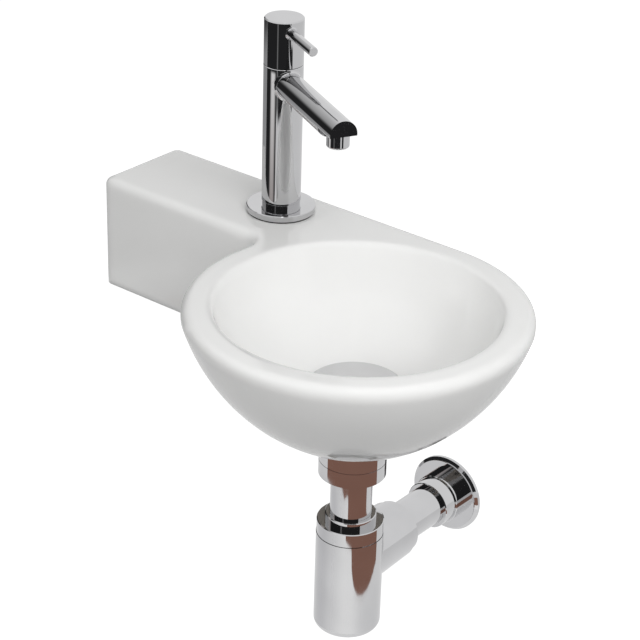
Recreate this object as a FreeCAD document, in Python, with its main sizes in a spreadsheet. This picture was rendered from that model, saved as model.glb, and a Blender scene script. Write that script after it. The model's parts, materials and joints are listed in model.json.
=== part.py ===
import FreeCAD, Part
import math
import os
import re

import Sketcher
from FreeCAD import Placement, Rotation, Vector

# A wall-hung hand basin: a round bowl with a side shelf that carries the tap,
# a push-open waste and a bottle trap whose pipe runs back into the wall.
# The origin is on the wall, midway between the two fixing holes.
# +X runs along the wall to the right, -Y out of the wall, +Z up.

SIZES = {
    # shared gaps
    "overrun": 2.0,
    "fit_gap": 0.1,
    "move_gap": 0.3,
    "running_gap": 0.08,
    "seam_height": 0.5,
    "seam_depth": 0.8,
    # ceramic basin
    "fixing_pitch": 140.0,
    "fixing_hole_radius": 7.0,
    "rim_rise": 55.0,
    "bowl_over_cavity": 16.0,
    "bowl_radius": 128.0,
    "rim_width": 22.0,
    "bowl_drop": 105.0,
    "foot_over_floor": 3.0,
    "bowl_outer_bulge": 14.0,
    "bowl_inner_bulge": 13.0,
    "floor_depth": 79.0,
    "floor_margin": 2.5,
    "slab_thickness": 9.0,
    "rim_outer_round": 6.5,
    "rim_inner_round": 3.5,
    "fixing_from_end": 30.0,
    "tap_front_gap": 13.0,
    "shelf_height": 94.5,
    "shelf_corner_round": 8.0,
    "shelf_blend_round": 16.0,
    "shelf_wall": 12.0,
    "deck_thickness": 16.0,
    "cavity_past_hole": 16.0,
    "drain_gap": 2.1,
    "tap_hole_radius": 17.5,
    # wall sleeves
    "sleeve_bore_radius": 5.25,
    "sleeve_flange_radius": 12.0,
    "sleeve_flange_thickness": 2.0,
    # tap column
    "tap_from_cavity_end": 36.5,
    "tap_back_gap": 4.0,
    "gasket_inset": 1.2,
    "gasket_bore_gap": 0.5,
    "gasket_thickness": 1.3,
    "ring_radius": 27.3,
    "ring_side": 5.0,
    "ring_hub_rise": 3.6,
    "ring_hub_inset": 0.5,
    "ring_edge": 0.5,
    "tap_radius": 15.5,
    "tap_body_height": 112.6,
    "tap_edge": 0.4,
    "shank_radius": 10.4,
    "shank_bore_radius": 6.0,
    "shank_socket_depth": 20.0,
    "shank_length": 89.4,
    "shank_edge": 1.0,
    "tail_length": 24.0,
    "tail_groove_width": 2.0,
    "tail_groove_depth": 0.8,
    "waterway_radius": 5.0,
    "column_wall": 3.9,
    "chamber_depth": 22.5,
    # spout and aerator
    "spout_turn": 28.0,
    "spout_radius": 10.75,
    "spout_wall": 4.25,
    "spout_reach": 118.0,
    "spout_below_seam": 13.5,
    "spout_spigot_step": 1.85,
    "spout_flat_length": 25.0,
    "spout_flat_below_axis": 1.5,
    "spout_front_wall": 3.0,
    "aerator_from_tip": 10.0,
    "aerator_inset": 2.15,
    "aerator_height": 11.0,
    "aerator_shoulder": 1.2,
    "aerator_spigot_height": 3.0,
    "aerator_wall": 1.0,
    "aerator_edge": 1.6,
    "aerator_lip": 1.0,
    "insert_height": 7.0,
    "insert_hole_radius": 0.8,
    "insert_ring_radius": 3.8,
    "insert_hole_count": 8,
    # handle and cartridge
    "cap_height": 37.0,
    "cap_wall": 2.9,
    "cap_bore_depth": 17.0,
    "cap_edge": 0.9,
    "lever_below_top": 8.4,
    "lever_radius": 3.75,
    "lever_reach": 58.0,
    "lever_edge": 0.6,
    "spindle_radius": 5.0,
    "spindle_top_gap": 3.0,
    "spindle_foot_height": 2.8,
    "cartridge_wall": 2.6,
    "cartridge_roof": 6.0,
    "cartridge_neck_wall": 4.0,
    "cartridge_neck_height": 9.5,
    "cartridge_port_radius": 5.0,
    "disc_thickness": 3.0,
    "disc_hole_radius": 2.4,
    "disc_hole_offset": 4.6,
    "disc_gap": 0.1,
    "cartridge_seal_bore_radius": 6.0,
    "cartridge_seal_height": 1.2,
    # under the deck
    "under_gasket_radius": 24.0,
    "under_gasket_thickness": 2.0,
    "under_washer_thickness": 2.0,
    "tap_nut_flats": 30.0,
    "tap_nut_height": 8.0,
    # waste
    "flange_lap": 13.5,
    "flange_thickness": 2.0,
    "flange_edge": 0.8,
    "flange_seal_thickness": 1.5,
    "flange_seal_inset": 2.0,
    "throat_flare": 3.5,
    "throat_depth": 4.0,
    "throat_over_pipe": 2.0,
    "waste_tube_wall": 2.9,
    "waste_tube_below_collar": 9.0,
    "guide_ledge": 1.0,
    "guide_height": 8.0,
    "guide_hub_height": 24.0,
    "guide_hub_wall": 3.0,
    "guide_ring_wall": 2.5,
    "guide_spoke_width": 3.0,
    "guide_spoke_count": 3,
    "guide_below_floor": 28.0,
    "plug_inset": 0.5,
    "plug_thickness": 3.4,
    "plug_crown": 1.0,
    "plug_edge": 1.2,
    "plug_travel": 6.0,
    "plug_seal_over_throat": 1.0,
    "plug_seal_width": 3.0,
    "plug_seal_height": 2.0,
    "stem_radius": 4.0,
    "stem_length": 34.0,
    "lower_seal_inset": 0.7,
    "lower_seal_thickness": 2.0,
    "collar_wall": 4.8,
    "collar_height": 20.5,
    "tail_nut_height": 12.5,
    "tail_nut_cone": 5.0,
    "tail_nut_lip": 1.6,
    "tail_seal_height": 2.0,
    # trap
    "pipe_radius": 16.0,
    "pipe_wall": 1.2,
    "tailpipe_lap": 6.0,
    "head_below_nut": 36.0,
    "head_height": 11.0,
    "head_plate": 3.0,
    "head_neck_wall": 3.6,
    "head_neck_height": 6.0,
    "head_edge": 0.6,
    "bottle_over_boss": 1.0,
    "head_inset": 0.3,
    "bottle_wall": 2.2,
    "bottle_below_boss": 34.0,
    "bottle_bottom_round": 6.0,
    "bottle_neck_inset": 2.6,
    "bottle_neck_wall": 2.0,
    "head_seal_height": 1.5,
    "dip_clearance": 24.0,
    "boss_top_gap": 0.5,
    "boss_taper": 1.8,
    "boss_wall": 3.8,
    "boss_reach": 53.0,
    "boss_blend": 1.0,
    "boss_seal_width": 3.4,
    "boss_seal_depth": 4.0,
    "outlet_nut_inset": 1.6,
    "outlet_nut_length": 7.5,
    "outlet_nut_edge": 1.0,
    "outlet_lap": 12.0,
    "wall_tail": 15.0,
    "pipe_insert_length": 12.0,
    "pipe_mark_width": 1.5,
    "pipe_mark_depth": 0.4,
    # wall rosette
    "rosette_rim": 11.4,
    "rosette_thickness": 5.0,
    "rosette_edge": 2.5,
    "rosette_step_inset": 2.5,
    "rosette_step": 1.2,
    "sleeve_back_wall": 4.6,
    "sleeve_back_length": 11.0,
    "sleeve_front_wall": 3.4,
    "sleeve_front_length": 12.0,
    "sleeve_edge": 0.6,
}

# Sizes that follow from the ones above.
FOLLOWING = {
    "bowl_opening_radius": "bowl_radius - rim_width",
    "bowl_x": "fixing_pitch / 2 + cavity_past_hole + bowl_radius - bowl_over_cavity",
    "cavity_right_gap": "bowl_radius - bowl_over_cavity",
    "shelf_reach": "bowl_x + fixing_pitch / 2 + fixing_from_end",
    "tap_from_bowl": "cavity_right_gap + tap_from_cavity_end",
    "tap_from_wall": "shelf_wall + under_gasket_radius + tap_back_gap",
    "shelf_depth": "tap_from_wall + under_gasket_radius + tap_front_gap + shelf_wall",
    "gasket_radius": "ring_radius - gasket_inset",
    "ring_hub_radius": "tap_radius - ring_hub_inset",
    "gasket_bore_radius": "tap_hole_radius + gasket_bore_gap",
    "chamber_radius": "tap_radius - column_wall",
    "spout_bore_radius": "spout_radius - spout_wall",
    "spout_spigot_radius": "spout_radius - spout_spigot_step",
    "aerator_radius": "spout_radius - aerator_inset",
    "aerator_spigot_radius": "aerator_radius - aerator_shoulder",
    "aerator_bore_radius": "aerator_spigot_radius - aerator_wall",
    "cap_bore_radius": "tap_radius - cap_wall",
    "cartridge_bore_radius": "chamber_radius - cartridge_wall",
    "cartridge_neck_radius": "spindle_radius + cartridge_neck_wall",
    "disc_radius": "cartridge_bore_radius - move_gap",
    "spindle_foot_radius": "disc_radius - move_gap",
    "throat_radius": "pipe_radius + throat_over_pipe",
    "throat_mouth_radius": "throat_radius + throat_flare",
    "waste_tube_radius": "throat_radius + waste_tube_wall",
    "drain_hole_radius": "waste_tube_radius + drain_gap",
    "flange_radius": "drain_hole_radius + flange_lap",
    "flange_seal_radius": "flange_radius - flange_seal_inset",
    "floor_radius": "flange_radius + floor_margin",
    "bowl_foot_radius": "floor_radius + foot_over_floor",
    "guide_hub_radius": "stem_radius + guide_hub_wall",
    "plug_radius": "flange_radius - plug_inset",
    "plug_seal_radius": "throat_radius + plug_seal_over_throat",
    "collar_radius": "waste_tube_radius + collar_wall",
    "lower_seal_radius": "collar_radius - lower_seal_inset",
    "tail_nut_mouth_radius": "pipe_radius + tail_nut_lip",
    "nut_drop": "bowl_drop + lower_seal_thickness + collar_height + tail_nut_height + tail_nut_cone",
    "head_drop": "nut_drop + head_below_nut",
    "head_neck_radius": "pipe_radius + head_neck_wall",
    "boss_seal_radius": "pipe_radius + boss_seal_width",
    "boss_radius": "boss_seal_radius + boss_wall",
    "boss_root_radius": "boss_radius + boss_taper",
    "outlet_drop": "head_drop + head_height + seam_height + boss_root_radius + boss_top_gap",
    "outlet_nut_radius": "boss_radius - outlet_nut_inset",
    "bottle_radius": "boss_root_radius + bottle_over_boss",
    "bottle_drop": "outlet_drop + boss_root_radius + bottle_below_boss",
    "bottle_neck_radius": "bottle_radius - bottle_neck_inset",
    "head_radius": "bottle_radius - head_inset",
    "sleeve_back_radius": "pipe_radius + sleeve_back_wall",
    "sleeve_front_radius": "pipe_radius + sleeve_front_wall",
    "rosette_radius": "sleeve_back_radius + rosette_rim",
    "rosette_step_radius": "rosette_radius - rosette_step_inset",
}

FULL_TURN = 360
QUARTER_TURN = 90
PICK_TOLERANCE = 0.5
LEAST_CHANGE = 1e-6

os.makedirs("parts", exist_ok=True)
doc = FreeCAD.newDocument("hand_basin")
sheet = doc.addObject("Spreadsheet::Sheet", "Sizes")
for row, (alias, value) in enumerate(SIZES.items(), start=1):
    sheet.set(f"A{row}", alias)
    sheet.set(f"B{row}", str(value))
    sheet.setAlias(f"B{row}", alias)
doc.recompute()

# Places that several pieces share, as expressions of the sheet.
BOWL_Y = "-bowl_radius"
TAP_X = "(bowl_x - tap_from_bowl)"
TAP_Y = "-tap_from_wall"
RING_BASE = "gasket_thickness"
BODY_BASE = "(gasket_thickness + ring_side + ring_hub_rise)"
BODY_TOP = f"({BODY_BASE} + tap_body_height)"
CHAMBER_BASE = f"({BODY_TOP} - chamber_depth)"
SPOUT_LEVEL = f"({BODY_TOP} - spout_below_seam)"
CAP_BASE = f"({BODY_TOP} + move_gap)"
CAP_TOP = f"({CAP_BASE} + cap_height)"
FLANGE_BASE = "(flange_seal_thickness - floor_depth)"
FLANGE_TOP = f"({FLANGE_BASE} + flange_thickness)"
PLUG_BASE = f"({FLANGE_TOP} + move_gap + plug_travel)"
COLLAR_TOP = "(-bowl_drop - lower_seal_thickness)"
COLLAR_BASE = f"({COLLAR_TOP} - collar_height)"
TUBE_BASE = f"({COLLAR_BASE} - waste_tube_below_collar)"
GUIDE_BASE = "(-floor_depth - guide_below_floor)"
HEAD_BASE = "(-head_drop - head_height)"

handed_in = []


def bound(expression):
    """Puts the sheet's name before each of its aliases, and spells out the sizes that follow."""
    def with_sheet(match):
        word = match.group(0)
        if word in FOLLOWING:
            return f"({bound(FOLLOWING[word])})"
        return f"Sizes.{word}" if word in SIZES else word
    return re.sub(r"[A-Za-z_]\w*", with_sheet, expression)


def number(expression):
    """The plain number that an expression of the sheet stands for."""
    value = sheet.evalExpression(bound(expression))
    return float(getattr(value, "Value", value))


def place(item, x="0", y="0", z="0", turn=None):
    """Binds an object's place to the sheet, with an optional fixed turn."""
    if turn is not None:
        item.Placement = Placement(Vector(0, 0, 0), turn)
    for axis, expression in (("x", x), ("y", y), ("z", z)):
        item.setExpression(f"Placement.Base.{axis}", bound(expression))


def new_body(label):
    body = doc.addObject("PartDesign::Body", label)
    body.Label = label
    handed_in.append(body)
    return body


def new_sketch(body, plane, name, offset=None):
    sketch = body.newObject("Sketcher::SketchObject", f"{body.Name}_{name}")
    origin_plane = [item for item in body.Origin.OriginFeatures if item.Role == plane][0]
    sketch.AttachmentSupport = [(origin_plane, "")]
    sketch.MapMode = "FlatFace"
    if offset is not None:
        sketch.setExpression("AttachmentOffset.Base.z", bound(offset))
    return sketch


def hold_point(sketch, geometry, end, x, y):
    """Fixes one point of a sketch at two expressions."""
    for kind, axis, expression in (("DistanceX", -2, x), ("DistanceY", -1, y)):
        value = number(expression)
        if value == 0:
            sketch.addConstraint(Sketcher.Constraint("PointOnObject", geometry, end, axis))
        else:
            index = sketch.addConstraint(Sketcher.Constraint(kind, geometry, end, value))
            sketch.setExpression(f"Constraints[{index}]", bound(expression))


def draw_outline(sketch, outline):
    """Draws a closed outline of points (x, y) or (x, y, radius): with a radius the
    edge to the next point is an arc, whose centre lies left of the way there if the
    radius is positive and right of it if negative."""
    points = [Vector(number(point[0]), number(point[1]), 0) for point in outline]
    ends = []
    for index, point in enumerate(outline):
        start = points[index]
        stop = points[(index + 1) % len(points)]
        if len(point) == 2:
            sketch.addGeometry(Part.LineSegment(start, stop))
            ends.append((1, 2))
            continue
        radius = number(point[2])
        chord = stop - start
        half = chord.Length / 2
        left = Vector(-chord.y, chord.x, 0).normalize()
        apart = math.sqrt(max(radius * radius - half * half, 0))
        centre = start + chord / 2 + left * math.copysign(apart, radius)
        first, last = (start, stop) if radius > 0 else (stop, start)
        angles = [math.atan2(at.y - centre.y, at.x - centre.x) for at in (first, last)]
        circle = Part.Circle(centre, Vector(0, 0, 1), abs(radius))
        geometry = sketch.addGeometry(Part.ArcOfCircle(circle, *angles))
        ends.append((1, 2) if radius > 0 else (2, 1))
        size = sketch.addConstraint(Sketcher.Constraint("Radius", geometry, abs(radius)))
        sketch.setExpression(f"Constraints[{size}]", bound(f"abs({point[2]})"))
    for index, point in enumerate(outline):
        after = (index + 1) % len(outline)
        join = Sketcher.Constraint("Coincident", index, ends[index][1], after, ends[after][0])
        sketch.addConstraint(join)
        hold_point(sketch, index, ends[index][0], point[0], point[1])


def draw_circle(sketch, x, y, radius):
    circle = Part.Circle(Vector(number(x), number(y), 0), Vector(0, 0, 1), number(radius))
    geometry = sketch.addGeometry(circle)
    hold_point(sketch, geometry, 3, x, y)
    size = sketch.addConstraint(Sketcher.Constraint("Radius", geometry, number(radius)))
    sketch.setExpression(f"Constraints[{size}]", bound(radius))


def spin(body, outline, name="profile", kind="PartDesign::Revolution"):
    """Turns an outline of (radius, height) points about the body's own Z axis."""
    sketch = new_sketch(body, "XZ_Plane", name)
    draw_outline(sketch, outline)
    doc.recompute()
    feature = body.newObject(kind, f"{body.Name}_{name}_turn")
    feature.Profile = sketch
    feature.ReferenceAxis = (sketch, ["V_Axis"])
    feature.Angle = FULL_TURN
    doc.recompute()
    return feature


def extrude(body, profile, length, kind, name, reverse=False):
    """Pads or pockets a sketch, or the faces of an earlier feature."""
    feature = body.newObject(kind, f"{body.Name}_{name}_depth")
    feature.Profile = profile
    feature.Reversed = reverse
    feature.setExpression("Length", bound(length))
    before = 0 if feature.BaseFeature is None else feature.BaseFeature.Shape.Volume
    doc.recompute()
    if abs(feature.Shape.Volume - before) < LEAST_CHANGE:
        raise ValueError(f"{feature.Name} changes nothing")
    return feature


def drill(body, circles, plane, length, name, offset="0", reverse=False):
    """Cuts round holes (x, y, radius) of one depth into a body."""
    sketch = new_sketch(body, plane, name, offset)
    for x, y, radius in circles:
        draw_circle(sketch, x, y, radius)
    doc.recompute()
    return extrude(body, sketch, length, "PartDesign::Pocket", name, reverse)


def soften(body, base, radius, wanted, name):
    """Rounds the edges of a feature that a test of each edge picks."""
    names = [
        f"Edge{index}" for index, edge in enumerate(base.Shape.Edges, start=1) if wanted(edge)
    ]
    feature = body.newObject("PartDesign::Fillet", f"{body.Name}_{name}")
    feature.Base = (base, names)
    feature.setExpression("Radius", bound(radius))
    doc.recompute()
    if feature.Shape.isNull():
        raise ValueError(f"{feature.Name} can't round {names}")
    return feature


def turned(label, outline, x, y, z, turn=None):
    """A piece that is one outline turned about its own axis."""
    body = new_body(label)
    spin(body, outline)
    place(body, x, y, z, turn)
    return body


def ring(label, inner, outer, low, high, x, y, z="rim_rise"):
    """A plain washer between two radii and two heights."""
    outline = [(inner, low), (outer, low), (outer, high), (inner, high)]
    return turned(label, outline, x, y, z)


def arc_radius(start, stop, bulge):
    """Radius of the arc that leaves the chord between two points by a bulge."""
    across = f"(({stop[0]} - ({start[0]}))^2 + ({stop[1]} - ({start[1]}))^2)"
    return f"({across} / (8 * {bulge}) + {bulge} / 2)"


def near(value, expression):
    return abs(value - number(expression)) < PICK_TOLERANCE


# Ceramic basin: the shelf block and the bowl, blended where they meet, and one slab that
# carries their joint outline up to the flat top.

basin = new_body("basin")
place(basin, "bowl_x", BOWL_Y, "rim_rise")
SHELF_FRONT = "(bowl_radius - shelf_depth)"
shelf = new_sketch(basin, "XY_Plane", "shelf", "-slab_thickness")
draw_outline(shelf, [
    ("-shelf_reach", SHELF_FRONT),
    ("0", SHELF_FRONT),
    ("0", "bowl_radius"),
    ("-shelf_reach", "bowl_radius"),
])
doc.recompute()
extrude(basin, shelf, "shelf_height - slab_thickness", "PartDesign::Pad", "shelf", reverse=True)

rim_edge = ("bowl_radius", "-slab_thickness")
foot_edge = ("bowl_foot_radius", "-bowl_drop")
outer_arc = arc_radius(rim_edge, foot_edge, "bowl_outer_bulge")
bowl = spin(basin, [
    ("0", "-bowl_drop"),
    (*foot_edge, outer_arc),
    rim_edge,
    ("0", "-slab_thickness"),
], "bowl")


def is_shelf_corner(edge):
    middle = edge.CenterOfMass
    upright = near(edge.BoundBox.ZLength, "shelf_height - slab_thickness")
    return upright and near(middle.x, "-shelf_reach")


def is_blend_edge(edge):
    box = edge.BoundBox
    on_front = near(box.YMin, SHELF_FRONT) and near(box.YMax, SHELF_FRONT)
    from_join = near(box.ZMax, "-slab_thickness")
    slanting = min(box.XLength, box.ZLength) > number("shelf_wall")
    return on_front and from_join and slanting


blend = soften(basin, bowl, "shelf_blend_round", is_blend_edge, "blend")
rounded = soften(basin, blend, "shelf_corner_round", is_shelf_corner, "corners")


def is_join_face(face):
    box = face.BoundBox
    return near(box.ZMin, "-slab_thickness") and near(box.ZMax, "-slab_thickness")


join_faces = [
    f"Face{index}" for index, face in enumerate(rounded.Shape.Faces, start=1) if is_join_face(face)
]
topped = extrude(basin, (rounded, join_faces), "slab_thickness", "PartDesign::Pad", "slab")


def is_top_edge(edge):
    box = edge.BoundBox
    return near(box.ZMin, "0") and near(box.ZMax, "0")


soften(basin, topped, "rim_outer_round", is_top_edge, "top")

mouth_edge = ("bowl_opening_radius", "0")
floor_edge = ("floor_radius", "-floor_depth")
inner_arc = arc_radius(mouth_edge, floor_edge, "bowl_inner_bulge")
hollow = spin(basin, [
    ("0", "-floor_depth"),
    (*floor_edge, inner_arc),
    mouth_edge,
    ("bowl_opening_radius", "overrun"),
    ("0", "overrun"),
], "hollow", "PartDesign::Groove")


def is_mouth(edge):
    return is_top_edge(edge) and near(edge.BoundBox.XLength / 2, "bowl_opening_radius")


soften(basin, hollow, "rim_inner_round", is_mouth, "mouth")

cavity = new_sketch(basin, "XY_Plane", "cavity", "-shelf_height")
draw_outline(cavity, [
    ("shelf_wall - shelf_reach", f"{SHELF_FRONT} + shelf_wall"),
    ("-cavity_right_gap", f"{SHELF_FRONT} + shelf_wall"),
    ("-cavity_right_gap", "bowl_radius - shelf_wall"),
    ("shelf_wall - shelf_reach", "bowl_radius - shelf_wall"),
])
doc.recompute()
extrude(
    basin, cavity, "shelf_height - deck_thickness", "PartDesign::Pocket", "cavity", reverse=True,
)
drill(
    basin, [("-tap_from_bowl", "bowl_radius - tap_from_wall", "tap_hole_radius")],
    "XY_Plane", "deck_thickness + overrun", "tap_hole",
)
drill(basin, [("0", "0", "drain_hole_radius")], "XY_Plane", "bowl_drop + overrun", "drain_hole")
drill(
    basin,
    [(f"{side} * fixing_pitch / 2 - bowl_x", "-rim_rise", "fixing_hole_radius") for side in (-1, 1)],
    "XZ_Plane", "shelf_wall + overrun", "fixing_holes", "-bowl_radius", reverse=True,
)

# Plastic sleeves that line the two fixing holes, each with a flange inside the shelf.

OUT_OF_WALL = Rotation(Vector(1, 0, 0), QUARTER_TURN)
sleeves = new_body("fixing_sleeves")
sleeves.AllowCompound = True
sleeve = spin(sleeves, [
    ("sleeve_bore_radius", "0"),
    ("fixing_hole_radius - fit_gap", "0"),
    ("fixing_hole_radius - fit_gap", "shelf_wall"),
    ("sleeve_flange_radius", "shelf_wall"),
    ("sleeve_flange_radius", "shelf_wall + sleeve_flange_thickness"),
    ("sleeve_bore_radius", "shelf_wall + sleeve_flange_thickness"),
])
pair = sleeves.newObject("PartDesign::LinearPattern", "sleeve_pair")
pair.Originals = [sleeve]
pair.Direction = ([item for item in sleeves.Origin.OriginFeatures if item.Role == "X_Axis"][0], [""])
pair.setExpression("Length", bound("fixing_pitch"))
pair.Occurrences = 2
sleeves.Tip = pair
place(sleeves, "-fixing_pitch / 2", turn=OUT_OF_WALL)

# Tap: foot, column and shank

ring("tap_gasket", "gasket_bore_radius", "gasket_radius", "0", "gasket_thickness", TAP_X, TAP_Y)
turned("tap_base_ring", [
    ("shank_radius + fit_gap", RING_BASE),
    ("ring_radius - ring_edge", RING_BASE),
    ("ring_radius", f"{RING_BASE} + ring_edge"),
    ("ring_radius", f"{RING_BASE} + ring_side - ring_edge"),
    ("ring_radius - ring_edge", f"{RING_BASE} + ring_side"),
    ("ring_hub_radius", f"{RING_BASE} + ring_side"),
    ("ring_hub_radius", BODY_BASE),
    ("shank_radius + fit_gap", BODY_BASE),
], TAP_X, TAP_Y, "rim_rise")

SOCKET_TOP = f"({BODY_BASE} + shank_socket_depth)"
tap_body = new_body("tap_body")
spin(tap_body, [
    ("shank_radius + fit_gap", BODY_BASE),
    ("tap_radius - tap_edge", BODY_BASE),
    ("tap_radius", f"{BODY_BASE} + tap_edge"),
    ("tap_radius", f"{BODY_TOP} - tap_edge"),
    ("tap_radius - tap_edge", BODY_TOP),
    ("chamber_radius", BODY_TOP),
    ("chamber_radius", CHAMBER_BASE),
    ("waterway_radius", CHAMBER_BASE),
    ("waterway_radius", SOCKET_TOP),
    ("shank_radius + fit_gap", SOCKET_TOP),
])
SPOUT_TURN = Rotation(Vector(0, 0, 1), -number("spout_turn"))
drill(
    tap_body, [("0", SPOUT_LEVEL, "spout_spigot_radius + fit_gap")],
    "YZ_Plane", "tap_radius + overrun", "spout_port", reverse=True,
)
place(tap_body, TAP_X, TAP_Y, "rim_rise", SPOUT_TURN)

SHANK_END = f"({SOCKET_TOP} - shank_length)"
TAIL_TOP = f"({SHANK_END} + tail_length)"
turned("tap_shank", [
    ("shank_bore_radius", SHANK_END),
    ("shank_radius - shank_edge", SHANK_END),
    ("shank_radius", f"{SHANK_END} + shank_edge"),
    ("shank_radius", TAIL_TOP),
    ("shank_radius - tail_groove_depth", TAIL_TOP),
    ("shank_radius - tail_groove_depth", f"{TAIL_TOP} + tail_groove_width"),
    ("shank_radius", f"{TAIL_TOP} + tail_groove_width"),
    ("shank_radius", SOCKET_TOP),
    ("shank_bore_radius", SOCKET_TOP),
], TAP_X, TAP_Y, "rim_rise")

UNDER_WASHER_TOP = "(-deck_thickness - under_gasket_thickness)"
NUT_TOP = f"({UNDER_WASHER_TOP} - under_washer_thickness)"
ring(
    "tap_under_gasket", "shank_radius + fit_gap", "under_gasket_radius",
    UNDER_WASHER_TOP, "-deck_thickness", TAP_X, TAP_Y,
)
ring(
    "tap_under_washer", "shank_radius + fit_gap", "under_gasket_radius",
    NUT_TOP, UNDER_WASHER_TOP, TAP_X, TAP_Y,
)

tap_nut = doc.addObject("Part::Cut", "tap_fixing_nut")
nut_block = doc.addObject("Part::Prism", "nut_block")
nut_block.Polygon = 6
nut_block.setExpression("Circumradius", bound("tap_nut_flats / sqrt(3)"))
nut_block.setExpression("Height", bound("tap_nut_height"))
nut_thread = doc.addObject("Part::Cylinder", "nut_thread")
nut_thread.setExpression("Radius", bound("shank_radius + fit_gap"))
nut_thread.setExpression("Height", bound("tap_nut_height + 2 * overrun"))
place(nut_thread, z="-overrun")
tap_nut.Base = nut_block
tap_nut.Tool = nut_thread
place(tap_nut, TAP_X, TAP_Y, f"rim_rise + {NUT_TOP} - tap_nut_height")
handed_in.append(tap_nut)

# Spout: a tube with a spigot in the column's side port, a flat under its tip and a
# threaded seat there for the aerator. Its own X axis runs along the tube.

ALONG_X = Rotation(Vector(0, 1, 0), QUARTER_TURN)


def rod(name, radius, length, x="0", y="0", z="0", turn=None):
    piece = doc.addObject("Part::Cylinder", name)
    piece.setExpression("Radius", bound(radius))
    piece.setExpression("Height", bound(length))
    place(piece, x, y, z, turn)
    return piece


def joined(kind, name, base, tool):
    result = doc.addObject(kind, name)
    result.Base = base
    result.Tool = tool
    return result


COLUMN_SIDE = "(tap_radius + fit_gap)"
AERATOR_X = "(spout_reach - aerator_from_tip)"
tube = rod("spout_tube", "spout_radius", "spout_reach", turn=ALONG_X)
column = rod("spout_column", COLUMN_SIDE, "4 * spout_radius", z="-2 * spout_radius")
saddle = joined("Part::Cut", "spout_saddle", tube, column)
spigot_start = "(chamber_radius + fit_gap)"
spigot = rod(
    "spout_spigot", "spout_spigot_radius", f"2 * {COLUMN_SIDE} - {spigot_start}",
    x=spigot_start, turn=ALONG_X,
)
outside = joined("Part::Fuse", "spout_outside", saddle, spigot)
under = doc.addObject("Part::Box", "spout_under")
under.setExpression("Length", bound("spout_flat_length + overrun"))
under.setExpression("Width", bound("4 * spout_radius"))
under.setExpression("Height", bound("2 * spout_radius"))
place(
    under, "spout_reach - spout_flat_length", "-2 * spout_radius",
    "-spout_flat_below_axis - 2 * spout_radius",
)
flat = joined("Part::Cut", "spout_flat", outside, under)
bore = rod("spout_bore", "spout_bore_radius", "spout_reach - spout_front_wall", turn=ALONG_X)
core = rod("spout_core", "chamber_radius + fit_gap", "4 * spout_radius", z="-2 * spout_radius")
waterways = joined("Part::Fuse", "spout_waterways", bore, core)
seat = rod(
    "spout_seat", "aerator_spigot_radius + fit_gap", "aerator_spigot_height + fit_gap",
    AERATOR_X, "0", "-spout_flat_below_axis",
)
opened = joined("Part::Fuse", "spout_opened", waterways, seat)
spout = joined("Part::Cut", "tap_spout", flat, opened)
place(spout, TAP_X, TAP_Y, f"rim_rise + {SPOUT_LEVEL}", SPOUT_TURN)
handed_in.append(spout)

TURN_COS = "cos(spout_turn * 1deg)"
TURN_SIN = "sin(spout_turn * 1deg)"
AERATOR_PLACE = (
    f"{TAP_X} + {AERATOR_X} * {TURN_COS}",
    f"{TAP_Y} - {AERATOR_X} * {TURN_SIN}",
    f"rim_rise + {SPOUT_LEVEL} - spout_flat_below_axis",
)
turned("aerator_shell", [
    ("aerator_bore_radius - aerator_lip", "-aerator_height"),
    ("aerator_radius - aerator_edge", "-aerator_height", "aerator_edge"),
    ("aerator_radius", "aerator_edge - aerator_height"),
    ("aerator_radius", "0"),
    ("aerator_spigot_radius", "0"),
    ("aerator_spigot_radius", "aerator_spigot_height"),
    ("aerator_bore_radius", "aerator_spigot_height"),
    ("aerator_bore_radius", "aerator_lip - aerator_height"),
    ("aerator_bore_radius - aerator_lip", "aerator_lip - aerator_height"),
], *AERATOR_PLACE)

insert = new_body("aerator_insert")
INSERT_BASE = "(aerator_lip - aerator_height)"
spin(insert, [
    ("0", INSERT_BASE),
    ("aerator_bore_radius - fit_gap", INSERT_BASE),
    ("aerator_bore_radius - fit_gap", f"{INSERT_BASE} + insert_height"),
    ("0", f"{INSERT_BASE} + insert_height"),
])
jet = drill(
    insert, [("insert_ring_radius", "0", "insert_hole_radius")],
    "XY_Plane", "insert_height", "jet", INSERT_BASE, reverse=True,
)
jets = insert.newObject("PartDesign::PolarPattern", "insert_jets")
jets.Originals = [jet]
jets.Axis = ([item for item in insert.Origin.OriginFeatures if item.Role == "Z_Axis"][0], [""])
jets.Angle = FULL_TURN
jets.setExpression("Occurrences", bound("insert_hole_count"))
insert.Tip = jets
place(insert, *AERATOR_PLACE)

# Cartridge in the column and the handle that turns it

CARTRIDGE_TOP = f"({BODY_TOP} + cartridge_neck_height)"
FIXED_DISC_BASE = f"({CHAMBER_BASE} + cartridge_seal_height)"
MOVING_DISC_BASE = f"({FIXED_DISC_BASE} + disc_thickness + disc_gap)"
SPINDLE_BASE = f"({MOVING_DISC_BASE} + disc_thickness)"
cartridge = new_body("cartridge_body")
spin(cartridge, [
    ("cartridge_bore_radius", CHAMBER_BASE),
    ("chamber_radius - fit_gap", CHAMBER_BASE),
    ("chamber_radius - fit_gap", BODY_TOP),
    ("cartridge_neck_radius", BODY_TOP),
    ("cartridge_neck_radius", CARTRIDGE_TOP),
    ("spindle_radius + running_gap", CARTRIDGE_TOP),
    ("spindle_radius + running_gap", f"{BODY_TOP} - cartridge_roof"),
    ("cartridge_bore_radius", f"{BODY_TOP} - cartridge_roof"),
])
drill(
    cartridge, [("0", SPOUT_LEVEL, "cartridge_port_radius")],
    "YZ_Plane", "tap_radius", "port", reverse=True,
)
place(cartridge, TAP_X, TAP_Y, "rim_rise", SPOUT_TURN)
ring(
    "cartridge_seal", "cartridge_seal_bore_radius", "disc_radius",
    CHAMBER_BASE, FIXED_DISC_BASE, TAP_X, TAP_Y,
)


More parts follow.
